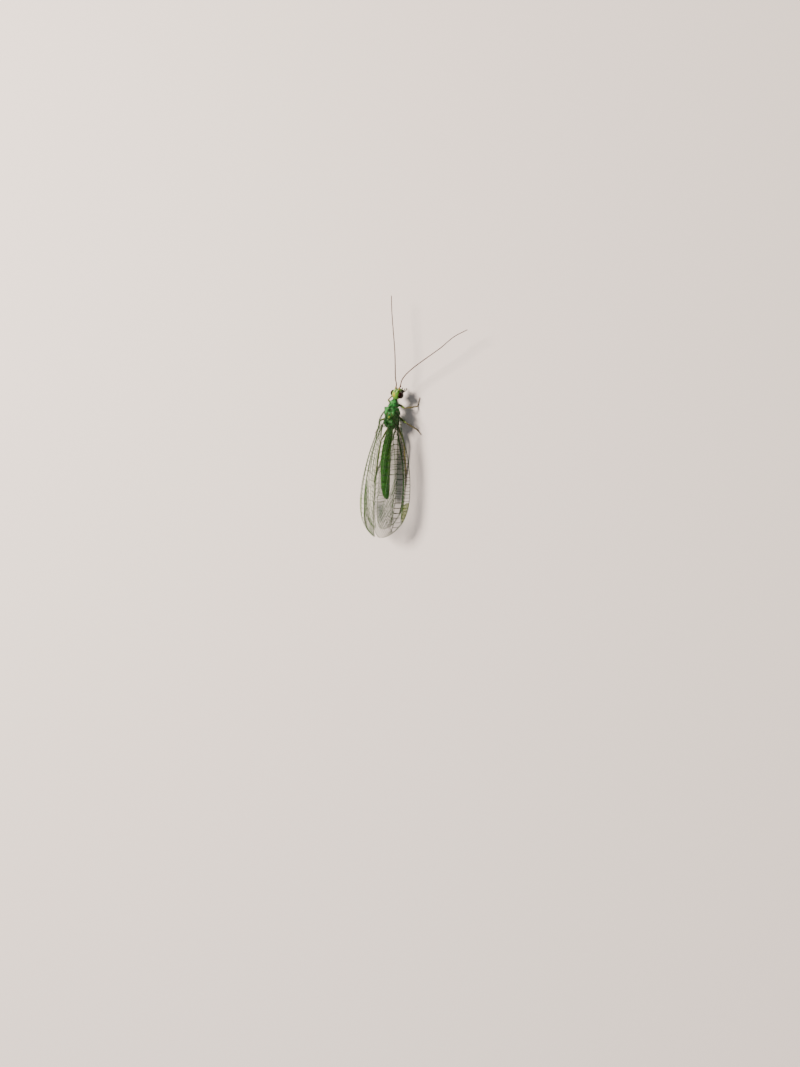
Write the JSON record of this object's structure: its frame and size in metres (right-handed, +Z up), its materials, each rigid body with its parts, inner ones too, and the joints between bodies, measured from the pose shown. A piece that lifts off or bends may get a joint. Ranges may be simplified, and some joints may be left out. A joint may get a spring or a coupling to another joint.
{
  "type": "green lacewing",
  "caption": "Life-size still model of a green lacewing at rest, wings folded as a roof over the abdomen, long antennae spread forward.",
  "frame": {"origin": "on the floor, under the middle of the bounding box", "axes": "+Z up, head towards -Y, the insect's left side towards +X"},
  "size_m": [0.0098, 0.0242, 0.0044],
  "materials": {
    "cuticle": "satin",
    "eye": "gloss",
    "feeler": "satin",
    "leg": "satin",
    "wing": "gloss"
  },
  "bodies": {
    "root": {"head": "cuticle", "eye_left": "eye", "eye_right": "eye", "antenna_left": "feeler", "antenna_right": "feeler", "prothorax": "cuticle", "thorax": "cuticle", "abdomen": "cuticle", "leg_front_left": "leg", "leg_front_right": "leg", "leg_mid_left": "leg", "leg_mid_right": "leg", "leg_hind_left": "leg", "leg_hind_right": "leg", "forewing_left": "wing", "forewing_right": "wing", "hindwing_left": "wing", "hindwing_right": "wing"}
  },
  "joints": []
}
